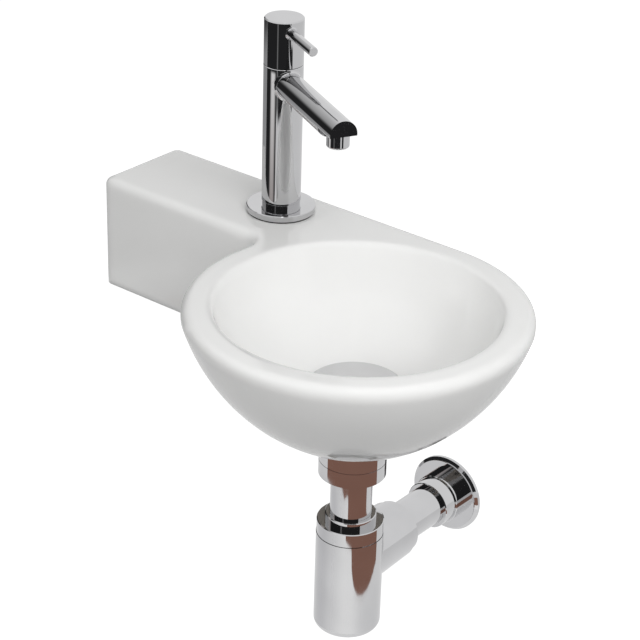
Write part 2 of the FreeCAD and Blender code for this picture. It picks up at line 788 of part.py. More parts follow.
def ceramic_disc(label, base):
    disc = new_body(label)
    spin(disc, [
        ("0", base),
        ("disc_radius", base),
        ("disc_radius", f"{base} + disc_thickness"),
        ("0", f"{base} + disc_thickness"),
    ])
    drill(
        disc, [(f"{side} * disc_hole_offset", "0", "disc_hole_radius") for side in (-1, 1)],
        "XY_Plane", "disc_thickness", "ports", base, reverse=True,
    )
    place(disc, TAP_X, TAP_Y, "rim_rise", SPOUT_TURN)


ceramic_disc("cartridge_fixed_disc", FIXED_DISC_BASE)
ceramic_disc("cartridge_moving_disc", MOVING_DISC_BASE)

SPINDLE_TOP = f"({CAP_TOP} - spindle_top_gap)"
turned("cartridge_spindle", [
    ("0", SPINDLE_BASE),
    ("spindle_foot_radius", SPINDLE_BASE),
    ("spindle_foot_radius", f"{SPINDLE_BASE} + spindle_foot_height"),
    ("spindle_radius", f"{SPINDLE_BASE} + spindle_foot_height"),
    ("spindle_radius", SPINDLE_TOP),
    ("0", SPINDLE_TOP),
], TAP_X, TAP_Y, "rim_rise")

LEVER_LEVEL = f"({CAP_TOP} - lever_below_top)"
cap = new_body("handle_cap")
spin(cap, [
    ("cap_bore_radius", CAP_BASE),
    ("tap_radius - tap_edge", CAP_BASE),
    ("tap_radius", f"{CAP_BASE} + tap_edge"),
    ("tap_radius", f"{CAP_TOP} - cap_edge"),
    ("tap_radius - cap_edge", CAP_TOP),
    ("0", CAP_TOP),
    ("0", SPINDLE_TOP),
    ("spindle_radius + fit_gap", SPINDLE_TOP),
    ("spindle_radius + fit_gap", f"{CAP_BASE} + cap_bore_depth"),
    ("cap_bore_radius", f"{CAP_BASE} + cap_bore_depth"),
])
drill(
    cap, [("0", LEVER_LEVEL, "lever_radius + fit_gap")],
    "YZ_Plane", "tap_radius + overrun", "lever_hole", reverse=True,
)
place(cap, TAP_X, TAP_Y, "rim_rise", SPOUT_TURN)

LEVER_START = "(spindle_radius + fit_gap)"
turned("handle_lever", [
    ("0", LEVER_START),
    ("lever_radius", LEVER_START),
    ("lever_radius", "lever_reach - lever_edge"),
    ("lever_radius - lever_edge", "lever_reach"),
    ("0", "lever_reach"),
], TAP_X, TAP_Y, f"rim_rise + {LEVER_LEVEL}", SPOUT_TURN.multiply(ALONG_X))

# Waste: flange, seals, push plug and its guide, collars and tailpipe

WASTE = ("bowl_x", BOWL_Y, "rim_rise")
ring(
    "waste_flange_seal", "waste_tube_radius + fit_gap", "flange_seal_radius",
    "-floor_depth", FLANGE_BASE, *WASTE[:2],
)
turned("waste_flange", [
    ("throat_radius - guide_ledge", TUBE_BASE),
    ("waste_tube_radius", TUBE_BASE),
    ("waste_tube_radius", FLANGE_BASE),
    ("flange_radius", FLANGE_BASE),
    ("flange_radius", f"{FLANGE_TOP} - flange_edge"),
    ("flange_radius - flange_edge", FLANGE_TOP),
    ("throat_mouth_radius", FLANGE_TOP),
    ("throat_radius", f"{FLANGE_TOP} - throat_depth"),
    ("throat_radius", GUIDE_BASE),
    ("throat_radius - guide_ledge", GUIDE_BASE),
], *WASTE)

guide = new_body("plug_guide")
HUB_TOP = f"({GUIDE_BASE} + guide_hub_height)"
GUIDE_TOP = f"({GUIDE_BASE} + guide_height)"
spokes = new_sketch(guide, "XY_Plane", "spoke", GUIDE_BASE)
HUB_BORE = "(stem_radius + running_gap)"
SPOKE_END = "(throat_radius - fit_gap - guide_ring_wall / 2)"
SPOKE_START = "((guide_hub_radius + stem_radius) / 2)"
draw_outline(spokes, [
    (SPOKE_START, "-guide_spoke_width / 2"),
    (SPOKE_END, "-guide_spoke_width / 2"),
    (SPOKE_END, "guide_spoke_width / 2"),
    (SPOKE_START, "guide_spoke_width / 2"),
])
spin(guide, [
    ("throat_radius - fit_gap - guide_ring_wall", GUIDE_BASE),
    ("throat_radius - fit_gap", GUIDE_BASE),
    ("throat_radius - fit_gap", GUIDE_TOP),
    ("throat_radius - fit_gap - guide_ring_wall", GUIDE_TOP),
], "rim")
spoke = extrude(guide, spokes, "guide_height", "PartDesign::Pad", "spoke")
spoke_set = guide.newObject("PartDesign::PolarPattern", "guide_spokes")
spoke_set.Originals = [spoke]
spoke_set.Axis = ([item for item in guide.Origin.OriginFeatures if item.Role == "Z_Axis"][0], [""])
spoke_set.Angle = FULL_TURN
spoke_set.setExpression("Occurrences", bound("guide_spoke_count"))
guide.Tip = spoke_set
doc.recompute()
spin(guide, [
    (HUB_BORE, GUIDE_BASE),
    ("guide_hub_radius", GUIDE_BASE),
    ("guide_hub_radius", HUB_TOP),
    (HUB_BORE, HUB_TOP),
], "hub")
place(guide, *WASTE)

PLUG_TOP = f"({PLUG_BASE} + plug_thickness)"
crown_edge = ("plug_radius - plug_edge", PLUG_TOP)
crown_top = ("0", f"{PLUG_TOP} + plug_crown")
turned("waste_plug", [
    ("0", PLUG_BASE),
    ("plug_radius - plug_edge", PLUG_BASE),
    ("plug_radius", f"{PLUG_BASE} + plug_edge"),
    ("plug_radius", f"{PLUG_TOP} - plug_edge", "plug_edge"),
    (*crown_edge, "((plug_radius - plug_edge)^2 + plug_crown^2) / (2 * plug_crown)"),
    crown_top,
], *WASTE)
ring(
    "plug_seal", "plug_seal_radius - plug_seal_width", "plug_seal_radius",
    f"{PLUG_BASE} - plug_seal_height", PLUG_BASE, *WASTE[:2],
)
turned("plug_stem", [
    ("0", f"{PLUG_BASE} - stem_length"),
    ("stem_radius", f"{PLUG_BASE} - stem_length"),
    ("stem_radius", PLUG_BASE),
    ("0", PLUG_BASE),
], *WASTE)

ring(
    "waste_lower_seal", "waste_tube_radius + fit_gap", "lower_seal_radius",
    COLLAR_TOP, "-bowl_drop", *WASTE[:2],
)
turned("waste_collar", [
    ("waste_tube_radius + fit_gap", COLLAR_BASE),
    ("collar_radius", COLLAR_BASE),
    ("collar_radius", COLLAR_TOP),
    ("waste_tube_radius + fit_gap", COLLAR_TOP),
], *WASTE)

TAIL_NUT_BASE = f"({COLLAR_BASE} - tail_nut_height)"
TAIL_SEAL_BASE = f"({TUBE_BASE} - tail_seal_height)"
turned("tail_nut", [
    ("pipe_radius + fit_gap", f"{TAIL_NUT_BASE} - tail_nut_cone"),
    ("tail_nut_mouth_radius", f"{TAIL_NUT_BASE} - tail_nut_cone"),
    ("collar_radius", TAIL_NUT_BASE),
    ("collar_radius", f"{COLLAR_BASE} - seam_height"),
    ("collar_radius - seam_depth", f"{COLLAR_BASE} - seam_height"),
    ("collar_radius - seam_depth", COLLAR_BASE),
    ("waste_tube_radius + fit_gap", COLLAR_BASE),
    ("waste_tube_radius + fit_gap", TAIL_SEAL_BASE),
    ("pipe_radius + fit_gap", TAIL_SEAL_BASE),
], *WASTE)
ring(
    "tail_seal", "pipe_radius + fit_gap", "waste_tube_radius",
    TAIL_SEAL_BASE, TUBE_BASE, *WASTE[:2],
)
PIPE_BORE = "(pipe_radius - pipe_wall)"
ring(
    "tailpipe", PIPE_BORE, "pipe_radius",
    "dip_clearance - bottle_drop", f"{TUBE_BASE} + tailpipe_lap", *WASTE[:2],
)

# Bottle trap with its screwed head and the outlet boss towards the wall

NECK_TOP = "(-head_drop - head_plate - head_seal_height)"
turned("trap_head", [
    ("bottle_neck_radius + fit_gap", HEAD_BASE),
    ("head_radius", HEAD_BASE),
    ("head_radius", "-head_drop - head_edge"),
    ("head_radius - head_edge", "-head_drop"),
    ("head_neck_radius", "-head_drop"),
    ("head_neck_radius", "head_neck_height - head_drop - head_edge"),
    ("head_neck_radius - head_edge", "head_neck_height - head_drop"),
    ("pipe_radius + fit_gap", "head_neck_height - head_drop"),
    ("pipe_radius + fit_gap", "-head_drop - head_plate"),
    ("bottle_neck_radius + fit_gap", "-head_drop - head_plate"),
], *WASTE)
ring(
    "trap_head_seal", "pipe_radius + fit_gap", "bottle_neck_radius",
    NECK_TOP, "-head_drop - head_plate", *WASTE[:2],
)

trap = new_body("trap_body")
SHOULDER = f"({HEAD_BASE} - seam_height)"
spin(trap, [
    ("0", "-bottle_drop"),
    ("bottle_radius - bottle_bottom_round", "-bottle_drop", "bottle_bottom_round"),
    ("bottle_radius", "bottle_bottom_round - bottle_drop"),
    ("bottle_radius", SHOULDER),
    ("head_radius - seam_depth", SHOULDER),
    ("head_radius - seam_depth", HEAD_BASE),
    ("bottle_neck_radius", HEAD_BASE),
    ("bottle_neck_radius", NECK_TOP),
    ("0", NECK_TOP),
], "shell")
boss = new_sketch(trap, "YZ_Plane", "boss")
draw_outline(boss, [
    ("0", "-outlet_drop"),
    ("boss_reach", "-outlet_drop"),
    ("boss_reach", "boss_radius - outlet_drop"),
    ("0", "boss_root_radius - outlet_drop"),
])
doc.recompute()
boss_turn = trap.newObject("PartDesign::Revolution", "trap_body_boss_turn")
boss_turn.Profile = boss
boss_turn.ReferenceAxis = (boss, ["Edge1"])
boss_turn.Angle = FULL_TURN
doc.recompute()


def is_boss_root(edge):
    box = edge.BoundBox
    beside_bottle = box.YMin > 0 and box.YMax < number("bottle_radius + overrun")
    return beside_bottle and box.ZLength > number("boss_radius")


soften(trap, boss_turn, "boss_blend", is_boss_root, "root")
BOTTLE_BORE = "(bottle_radius - bottle_wall)"
NECK_BORE = "(bottle_neck_radius - bottle_neck_wall)"
spin(trap, [
    ("0", "bottle_wall - bottle_drop"),
    (BOTTLE_BORE, "bottle_wall - bottle_drop"),
    (BOTTLE_BORE, f"{SHOULDER} - bottle_wall"),
    (NECK_BORE, f"{SHOULDER} - bottle_wall"),
    (NECK_BORE, f"{NECK_TOP} + overrun"),
    ("0", f"{NECK_TOP} + overrun"),
], "inside", "PartDesign::Groove")
drill(
    trap, [("0", "-outlet_drop", "pipe_radius + fit_gap")],
    "XZ_Plane", "boss_reach + overrun", "outlet",
)
drill(
    trap, [("0", "-outlet_drop", "boss_seal_radius + fit_gap")],
    "XZ_Plane", "boss_seal_depth + overrun", "outlet_seat", "boss_seal_depth - boss_reach",
)
place(trap, *WASTE)

# Outlet pipe to the wall: each piece is turned about the pipe's axis, heights run to the wall.

TO_WALL = Rotation(Vector(1, 0, 0), -QUARTER_TURN)
OUTLET = ("bowl_x", BOWL_Y, "rim_rise - outlet_drop", TO_WALL)


def outlet_piece(label, outline):
    return turned(label, outline, *OUTLET)


outlet_piece("outlet_seal", [
    ("pipe_radius + fit_gap", "boss_reach - boss_seal_depth"),
    ("boss_seal_radius", "boss_reach - boss_seal_depth"),
    ("boss_seal_radius", "boss_reach"),
    ("pipe_radius + fit_gap", "boss_reach"),
])
NUT_END = "(boss_reach + outlet_nut_length)"
outlet_piece("outlet_nut", [
    ("pipe_radius + fit_gap", "boss_reach"),
    ("boss_radius - seam_depth", "boss_reach"),
    ("boss_radius - seam_depth", "boss_reach + seam_height"),
    ("outlet_nut_radius", "boss_reach + seam_height"),
    ("outlet_nut_radius", f"{NUT_END} - outlet_nut_edge"),
    ("outlet_nut_radius - outlet_nut_edge", NUT_END),
    ("pipe_radius + fit_gap", NUT_END),
])
PIPE_END = "(bowl_radius + wall_tail)"
PIPE_MARK = f"({PIPE_END} - pipe_insert_length)"
outlet_piece("outlet_pipe", [
    (PIPE_BORE, "boss_reach - outlet_lap"),
    ("pipe_radius", "boss_reach - outlet_lap"),
    ("pipe_radius", f"{PIPE_MARK} - pipe_mark_width"),
    ("pipe_radius - pipe_mark_depth", f"{PIPE_MARK} - pipe_mark_width"),
    ("pipe_radius - pipe_mark_depth", PIPE_MARK),
    ("pipe_radius", PIPE_MARK),
    ("pipe_radius", PIPE_END),
    (PIPE_BORE, PIPE_END),
])
ROSETTE_FRONT = "(bowl_radius - rosette_thickness)"
SLEEVE_STEP = f"({ROSETTE_FRONT} - sleeve_back_length)"
SLEEVE_FRONT = f"({SLEEVE_STEP} - sleeve_front_length)"
outlet_piece("wall_rosette", [
    ("pipe_radius + fit_gap", "bowl_radius"),
    ("pipe_radius + fit_gap", ROSETTE_FRONT),
    ("rosette_step_radius", ROSETTE_FRONT),
    ("rosette_step_radius", f"{ROSETTE_FRONT} + rosette_step"),
    ("rosette_radius", f"{ROSETTE_FRONT} + rosette_edge"),
    ("rosette_radius", "bowl_radius"),
])
outlet_piece("rosette_sleeve", [
    ("pipe_radius + fit_gap", ROSETTE_FRONT),
    ("pipe_radius + fit_gap", SLEEVE_FRONT),
    ("sleeve_front_radius - sleeve_edge", SLEEVE_FRONT),
    ("sleeve_front_radius", f"{SLEEVE_FRONT} + sleeve_edge"),
    ("sleeve_front_radius", SLEEVE_STEP),
    ("sleeve_back_radius - sleeve_edge", SLEEVE_STEP),
    ("sleeve_back_radius", f"{SLEEVE_STEP} + sleeve_edge"),
    ("sleeve_back_radius", ROSETTE_FRONT),
])

# Build, test and write every piece

doc.recompute()
for item in doc.Objects:
    if "Invalid" in item.State or "Error" in item.State:
        raise ValueError(f"{item.Label}: {item.State}")
for item in handed_in:
    shape = item.Shape
    if shape.isNull() or not shape.isValid() or not shape.Solids:
        raise ValueError(f"{item.Label} has no valid solid")
for item in handed_in:
    item.Shape.exportStep(f"parts/{item.Label}.step")
    box = item.Shape.BoundBox
    print(
        f"{item.Label}: {len(item.Shape.Solids)} solid, {item.Shape.Volume / 1000:.2f} cm3, "
        f"X {box.XMin:.1f}..{box.XMax:.1f} Y {box.YMin:.1f}..{box.YMax:.1f} "
        f"Z {box.ZMin:.1f}..{box.ZMax:.1f}"
    )
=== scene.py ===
import json
import math

import bpy
import numpy as np
from mathutils import Matrix, Vector


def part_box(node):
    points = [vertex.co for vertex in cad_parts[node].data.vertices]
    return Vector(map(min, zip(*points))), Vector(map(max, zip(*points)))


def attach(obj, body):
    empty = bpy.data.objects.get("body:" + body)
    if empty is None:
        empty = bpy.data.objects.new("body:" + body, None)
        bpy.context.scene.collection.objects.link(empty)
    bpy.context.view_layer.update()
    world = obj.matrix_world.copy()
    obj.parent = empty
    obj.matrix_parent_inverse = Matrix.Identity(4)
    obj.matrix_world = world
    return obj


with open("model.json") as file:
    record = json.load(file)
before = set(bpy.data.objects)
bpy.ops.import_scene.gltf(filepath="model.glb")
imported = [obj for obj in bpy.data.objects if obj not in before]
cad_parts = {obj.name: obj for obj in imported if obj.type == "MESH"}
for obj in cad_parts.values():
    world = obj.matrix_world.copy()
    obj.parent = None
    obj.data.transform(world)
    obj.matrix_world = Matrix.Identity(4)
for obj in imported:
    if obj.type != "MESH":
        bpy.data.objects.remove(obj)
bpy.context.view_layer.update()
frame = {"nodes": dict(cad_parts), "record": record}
nodes = frame["nodes"]
record = frame["record"]
scene = bpy.context.scene
scene.view_settings.view_transform = "Standard"
print("frame loaded:", len(nodes), "nodes")


# camera

photoCamera = {
    "azimuth": 38.76,  # degrees round the basin, from straight in front
    "elevation": 27.28,
    "roll": 1.65,
    "place": (1.0067, -1.1790, 0.7254),
    "lens": 116.1,
    "sensor": 36.0,
    "farthest": 50.0,
}


def makeCamera(spec):
    around, above, roll = (math.radians(spec[key]) for key in ("azimuth", "elevation", "roll"))
    reach = math.cos(above)
    back = Vector((math.sin(around) * reach, -math.cos(around) * reach, math.sin(above)))
    level = Vector((math.cos(around), math.sin(around), 0))
    upright = back.cross(level)
    right = level * math.cos(roll) + upright * math.sin(roll)
    up = upright * math.cos(roll) - level * math.sin(roll)
    data = bpy.data.cameras.new("photoCamera")
    data.lens = spec["lens"]
    data.sensor_width = spec["sensor"]
    data.clip_end = spec["farthest"]
    camera = bpy.data.objects.new("photoCamera", data)
    turn = Matrix((right, up, back)).transposed().to_4x4()
    camera.matrix_world = Matrix.Translation(spec["place"]) @ turn
    scene.collection.objects.link(camera)
    scene.camera = camera


makeCamera(photoCamera)
print("camera set")


# node helpers

def addNode(tree, kind, inputs=None, **settings):
    node = tree.nodes.new(kind)
    for key, value in settings.items():
        setattr(node, key, value)
    for key, value in (inputs or {}).items():
        if isinstance(value, bpy.types.NodeSocket):
            tree.links.new(value, node.inputs[key])
        else:
            node.inputs[key].default_value = value
    return node


def mathNode(tree, operation, first, second=0.0):
    return addNode(tree, "ShaderNodeMath", {0: first, 1: second}, operation=operation).outputs[0]


def vectorNode(tree, operation, first, second):
    return addNode(tree, "ShaderNodeVectorMath", {0: first, 1: second}, operation=operation).outputs[0]


# the Mix node keeps its values at sockets 2 and 3, and its colours at 6 and 7
def mixValues(tree, share, first, second):
    return addNode(tree, "ShaderNodeMix", {0: share, 2: first, 3: second}).outputs[0]


def mixColours(tree, share, first, second):
    return addNode(tree, "ShaderNodeMix", {0: share, 6: first, 7: second}, data_type="RGBA").outputs[2]


def splitVector(tree, vector):
    return addNode(tree, "ShaderNodeSeparateXYZ", {0: vector}).outputs


def newGroup(name, inputs, outputs):
    group = bpy.data.node_groups.new(name, "ShaderNodeTree")
    for label, kind, value in inputs:
        socket = group.interface.new_socket(name=label, in_out="INPUT", socket_type=kind)
        socket.default_value = value
    for label, kind in outputs:
        group.interface.new_socket(name=label, in_out="OUTPUT", socket_type=kind)
    return group, group.nodes.new("NodeGroupInput"), group.nodes.new("NodeGroupOutput")


def useGroup(tree, group, inputs):
    return addNode(tree, "ShaderNodeGroup", inputs, node_tree=group)


def newMaterial(name):
    material = bpy.data.materials.new(name)
    material.use_nodes = True
    return material, material.node_tree


def feedShader(tree, shader, outputs):
    for socket, output in outputs.items():
        tree.links.new(output, shader.inputs[socket])


# finishes

# cloudy change between two colours, size in features per metre
def makeMottle():
    group, start, end = newGroup(
        "mottle",
        [
            ("Colour", "NodeSocketColor", (1, 1, 1, 1)),
            ("Shade", "NodeSocketColor", (0.9, 0.9, 0.9, 1)),
            ("Size", "NodeSocketFloat", 40.0),
        ],
        [("Colour", "NodeSocketColor")],
    )
    spot = addNode(group, "ShaderNodeTexCoord")
    cloud = addNode(group, "ShaderNodeTexNoise", {
        "Vector": spot.outputs["Object"], "Scale": start.outputs["Size"], "Detail": 4.0,
    })
    spread = addNode(group, "ShaderNodeMapRange", {
        "Value": cloud.outputs["Fac"], "From Min": 0.35, "From Max": 0.65,
    })
    blend = mixColours(group, spread.outputs[0], start.outputs["Colour"], start.outputs["Shade"])
    group.links.new(blend, end.inputs["Colour"])
    return group


# roughness that wanders between two levels
def makeRoughness():
    group, start, end = newGroup(
        "roughnessSpread",
        [
            ("Low", "NodeSocketFloat", 0.1),
            ("High", "NodeSocketFloat", 0.2),
            ("Size", "NodeSocketFloat", 60.0),
        ],
        [("Roughness", "NodeSocketFloat")],
    )
    spot = addNode(group, "ShaderNodeTexCoord")
    cloud = addNode(group, "ShaderNodeTexNoise", {
        "Vector": spot.outputs["Object"], "Scale": start.outputs["Size"], "Detail": 5.0,
        "Roughness": 0.6,
    })
    spread = addNode(group, "ShaderNodeMapRange", {
        "Value": cloud.outputs["Fac"], "From Min": 0.3, "From Max": 0.7,
        "To Min": start.outputs["Low"], "To Max": start.outputs["High"],
    })
    group.links.new(spread.outputs[0], end.inputs["Roughness"])
    return group


# fine surface relief, height in metres
def makeRelief():
    group, start, end = newGroup(
        "relief",
        [("Size", "NodeSocketFloat", 200.0), ("Height", "NodeSocketFloat", 0.00002)],
        [("Normal", "NodeSocketVector")],
    )
    spot = addNode(group, "ShaderNodeTexCoord")
    grain = addNode(group, "ShaderNodeTexNoise", {
        "Vector": spot.outputs["Object"], "Scale": start.outputs["Size"], "Detail": 2.0,
    })
    bump = addNode(group, "ShaderNodeBump", {
        "Strength": 1.0, "Distance": start.outputs["Height"], "Height": grain.outputs["Fac"],
    })
    group.links.new(bump.outputs["Normal"], end.inputs["Normal"])
    return group


# mask of the bare clay: the wall face, everything that looks straight down, and the hollow
def makeBareClay():
    group, start, end = newGroup(
        "bareClay",
        [
            ("Wall", "NodeSocketFloat", 0.0006),
            ("Down", "NodeSocketFloat", -0.98),
            ("Middle", "NodeSocketVector", (0, 0, 0)),
            ("Half", "NodeSocketVector", (0.1, 0.1, 0.1)),
        ],
        [("Mask", "NodeSocketFloat")],
    )
    spot = addNode(group, "ShaderNodeTexCoord")
    place = splitVector(group, spot.outputs["Object"])
    facing = splitVector(group, spot.outputs["Normal"])
    middle = splitVector(group, start.outputs["Middle"])
    half = splitVector(group, start.outputs["Half"])
    wall = mathNode(group, "LESS_THAN", mathNode(group, "ABSOLUTE", place["Y"]), start.outputs["Wall"])
    down = mathNode(group, "LESS_THAN", facing["Z"], start.outputs["Down"])
    inside = 1.0
    for axis in "XYZ":
        offset = mathNode(group, "SUBTRACT", place[axis], middle[axis])
        within = mathNode(group, "LESS_THAN", mathNode(group, "ABSOLUTE", offset), half[axis])
        inside = mathNode(group, "MULTIPLY", inside, within)
    bare = mathNode(group, "MAXIMUM", mathNode(group, "MAXIMUM", wall, down), inside)
    group.links.new(bare, end.inputs["Mask"])
    return group


mottle = makeMottle()
roughnessSpread = makeRoughness()
relief = makeRelief()
bareClay = makeBareClay()

finishes = {
    "chrome": {
        "colour": (0.64, 0.64, 0.65), "shade": (0.6, 0.6, 0.61), "mottleSize": 25,
        "rough": (0.015, 0.05), "roughSize": 70, "reliefSize": 45, "reliefHeight": 0.000004,
        "plain": {"Metallic": 1.0},
    },
    "brass": {
        "colour": (0.62, 0.45, 0.19), "shade": (0.48, 0.33, 0.13), "mottleSize": 60,
        "rough": (0.22, 0.4), "roughSize": 150, "reliefSize": 900, "reliefHeight": 0.00001,
        "plain": {"Metallic": 1.0},
    },
    "steel": {
        "colour": (0.5, 0.51, 0.53), "shade": (0.4, 0.41, 0.42), "mottleSize": 80,
        "rough": (0.25, 0.42), "roughSize": 200, "reliefSize": 1200, "reliefHeight": 0.000008,
        "plain": {"Metallic": 1.0},
    },
    "rubber": {
        "colour": (0.022, 0.022, 0.023), "shade": (0.034, 0.034, 0.034), "mottleSize": 120,
        "rough": (0.5, 0.68), "roughSize": 300, "reliefSize": 1800, "reliefHeight": 0.00003,
    },
    "plastic": {
        "colour": (0.6, 0.6, 0.59), "shade": (0.55, 0.55, 0.54), "mottleSize": 90,
        "rough": (0.38, 0.5), "roughSize": 260, "reliefSize": 1400, "reliefHeight": 0.00002,
    },
    "disc_ceramic": {
        "colour": (0.7, 0.68, 0.62), "shade": (0.64, 0.61, 0.55), "mottleSize": 180,
        "rough": (0.12, 0.2), "roughSize": 400, "reliefSize": 1500, "reliefHeight": 0.000005,
    },
}
glaze = {
    "colour": (0.9, 0.9, 0.89), "shade": (0.885, 0.885, 0.875), "mottleSize": 18,
    "rough": (0.035, 0.07), "roughSize": 30, "reliefSize": 120, "reliefHeight": 0.00002,
    "edgeBlend": 0.009,  # radius over which the edges are shaded round
    "edgeSamples": 8,
}
clay = {
    "colour": (0.62, 0.57, 0.5, 1),
    "rough": 0.85,
    "wall": 0.0006,  # how near the wall plane the face is bare
    "down": -0.98,  # upward part of the normal under which a face is bare
    "hollow": ((-0.089, -0.078, -0.041), (0.087, -0.011, 0.0395)),  # inside of the shelf
}


# one finish from the three shared groups and the shader's own plain values
def makeFinish(name, spec):
    material, tree = newMaterial(name)
    shader = tree.nodes["Principled BSDF"]
    tint = useGroup(tree, mottle, {
        "Colour": (*spec["colour"], 1), "Shade": (*spec["shade"], 1), "Size": spec["mottleSize"],
    })
    rough = useGroup(tree, roughnessSpread, {
        "Low": spec["rough"][0], "High": spec["rough"][1], "Size": spec["roughSize"],
    })
    fine = useGroup(tree, relief, {"Size": spec["reliefSize"], "Height": spec["reliefHeight"]})
    outputs = {
        "Base Color": tint.outputs["Colour"],
        "Roughness": rough.outputs["Roughness"],
        "Normal": fine.outputs["Normal"],
    }
    feedShader(tree, shader, outputs)
    for socket, value in spec.get("plain", {}).items():
        shader.inputs[socket].default_value = value
    return material, shader, outputs


# glaze with softly shaded edges that leaves the wall face, the undersides and the hollow bare
def makeCeramic(spec, bare):
    material, shader, coat = makeFinish("ceramic", spec)
    tree = material.node_tree
    low, high = (np.array(corner) for corner in bare["hollow"])
    mask = useGroup(tree, bareClay, {
        "Wall": bare["wall"], "Down": bare["down"],
        "Middle": tuple((low + high) / 2), "Half": tuple((high - low) / 2),
    }).outputs["Mask"]
    soft = addNode(tree, "ShaderNodeBevel", {"Radius": spec["edgeBlend"]}, samples=spec["edgeSamples"])
    plain = addNode(tree, "ShaderNodeNewGeometry")
    wave = vectorNode(tree, "SUBTRACT", coat["Normal"], plain.outputs["Normal"])
    feedShader(tree, shader, {
        "Base Color": mixColours(tree, mask, coat["Base Color"], bare["colour"]),
        "Roughness": mixValues(tree, mask, coat["Roughness"], bare["rough"]),
        "Normal": vectorNode(tree, "ADD", soft.outputs[0], wave),
    })
    return material


slotMaterials = {slot: makeFinish(slot, spec)[0] for slot, spec in finishes.items()}
slotMaterials["ceramic"] = makeCeramic(glaze, clay)
for entry in record["subparts"]:
    mesh = nodes[entry["node"]].data
    mesh.materials.clear()
    mesh.materials.append(slotMaterials[entry["material_slot"]])
print("materials on", len(record["subparts"]), "nodes")


# pieces that the solids leave out

def meshObject(name, points, faces):
    mesh = bpy.data.meshes.new(name)
    mesh.from_pydata(points.reshape(-1, 3).tolist(), [], faces)
    mesh.update()
    item = bpy.data.objects.new(name, mesh)
    scene.collection.objects.link(item)
    return item


# a profile carried along a path: points in path order, each row one closed profile; the last
# row joins the first where the path is closed, and the two ends get a face each where it isn't;
# the faces that start in the first smoothColumns columns are shaded smooth
def sweptObject(name, points, closedPath, smoothColumns):
    rows, columns = points.shape[:2]
    spans = rows if closedPath else rows - 1
    row, column = np.meshgrid(np.arange(spans), np.arange(columns), indexing="ij")
    nextRow, nextColumn = (row + 1) % rows, (column + 1) % columns
    corners = np.stack([
        row * columns + column, row * columns + nextColumn,
        nextRow * columns + nextColumn, nextRow * columns + column,
    ], axis=-1)
    faces = corners.reshape(-1, 4).tolist()
    smooth = (column < smoothColumns).ravel().tolist()
    if not closedPath:
        firstRow = np.arange(columns)
        lastRow = firstRow + (rows - 1) * columns
        faces += [firstRow[::-1].tolist(), lastRow.tolist()]
        smooth += [False, False]
    item = meshObject(name, points, faces)
    item.data.polygons.foreach_set("use_smooth", smooth)
    item.data.update()
    return item


columnLow, columnHigh = (np.array(corner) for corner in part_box("tap_body"))
columnAxis = (columnLow + columnHigh)[:2] / 2
columnRadius = (columnHigh - columnLow)[0] / 2
fillets = [
    {"name": "spoutFillet", "rod": "tap_spout", "body": "basin_set", "size": 0.0019},
    {"name": "leverFillet", "rod": "handle_lever", "body": "handle", "size": 0.0014},
]
filletShape = {
    "turn": -28.0,  # heading of both rods, in degrees from +X
    "sunk": 0.0004,  # depth of the closing corner inside the metal
    "roundSteps": 128,
    "arcSteps": 10,
}


# hollow rounding where a level rod leaves the upright column: at each angle round the rod a
# parabola runs from the rod's side to the column's side, tangent to both, and is closed inside
def makeFillet(spec, shape):
    low, high = (np.array(corner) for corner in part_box(spec["rod"]))
    radius, level = (high - low)[2] / 2, (high + low)[2] / 2
    turn = np.linspace(0, math.tau, shape["roundSteps"], endpoint=False)[:, None]
    wide = radius + spec["size"]
    seat = np.sqrt(columnRadius ** 2 - (radius * np.cos(turn)) ** 2)
    foot = np.sqrt(columnRadius ** 2 - (wide * np.cos(turn)) ** 2)
    share = np.linspace(0, 1, shape["arcSteps"] + 1)[None, :]
    start, middle, end = (1 - share) ** 2, 2 * share * (1 - share), share ** 2
    out = start * (seat + spec["size"]) + middle * seat + end * foot
    away = (start + middle) * radius + end * wide + np.zeros_like(turn)
    out = np.append(out, seat - shape["sunk"], axis=1)
    away = np.append(away, np.full_like(seat, radius - shape["sunk"]), axis=1)
    side, rise = away * np.cos(turn), away * np.sin(turn)
    heading = math.radians(shape["turn"])
    points = np.stack([
        columnAxis[0] + out * math.cos(heading) - side * math.sin(heading),
        columnAxis[1] + out * math.sin(heading) + side * math.cos(heading),
        level + rise,
    ], axis=-1)
    fillet = sweptObject(spec["name"], points, True, shape["arcSteps"])
    fillet.data.materials.append(slotMaterials["chrome"])
    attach(fillet, spec["body"])


tail = {
    "mount": "tap_inlet",
    "pitch": 0.0018,
    "height": 0.00035,
    "sunk": 0.0003,
    "margin": 0.0012,  # plain length left at each end
    "steps": 40,  # points in one turn
    "halfFoot": 0.42,  # half the ridge's foot, in pitches
    "startShare": 0.3,  # share of the ridge's full reach at its two tips
}


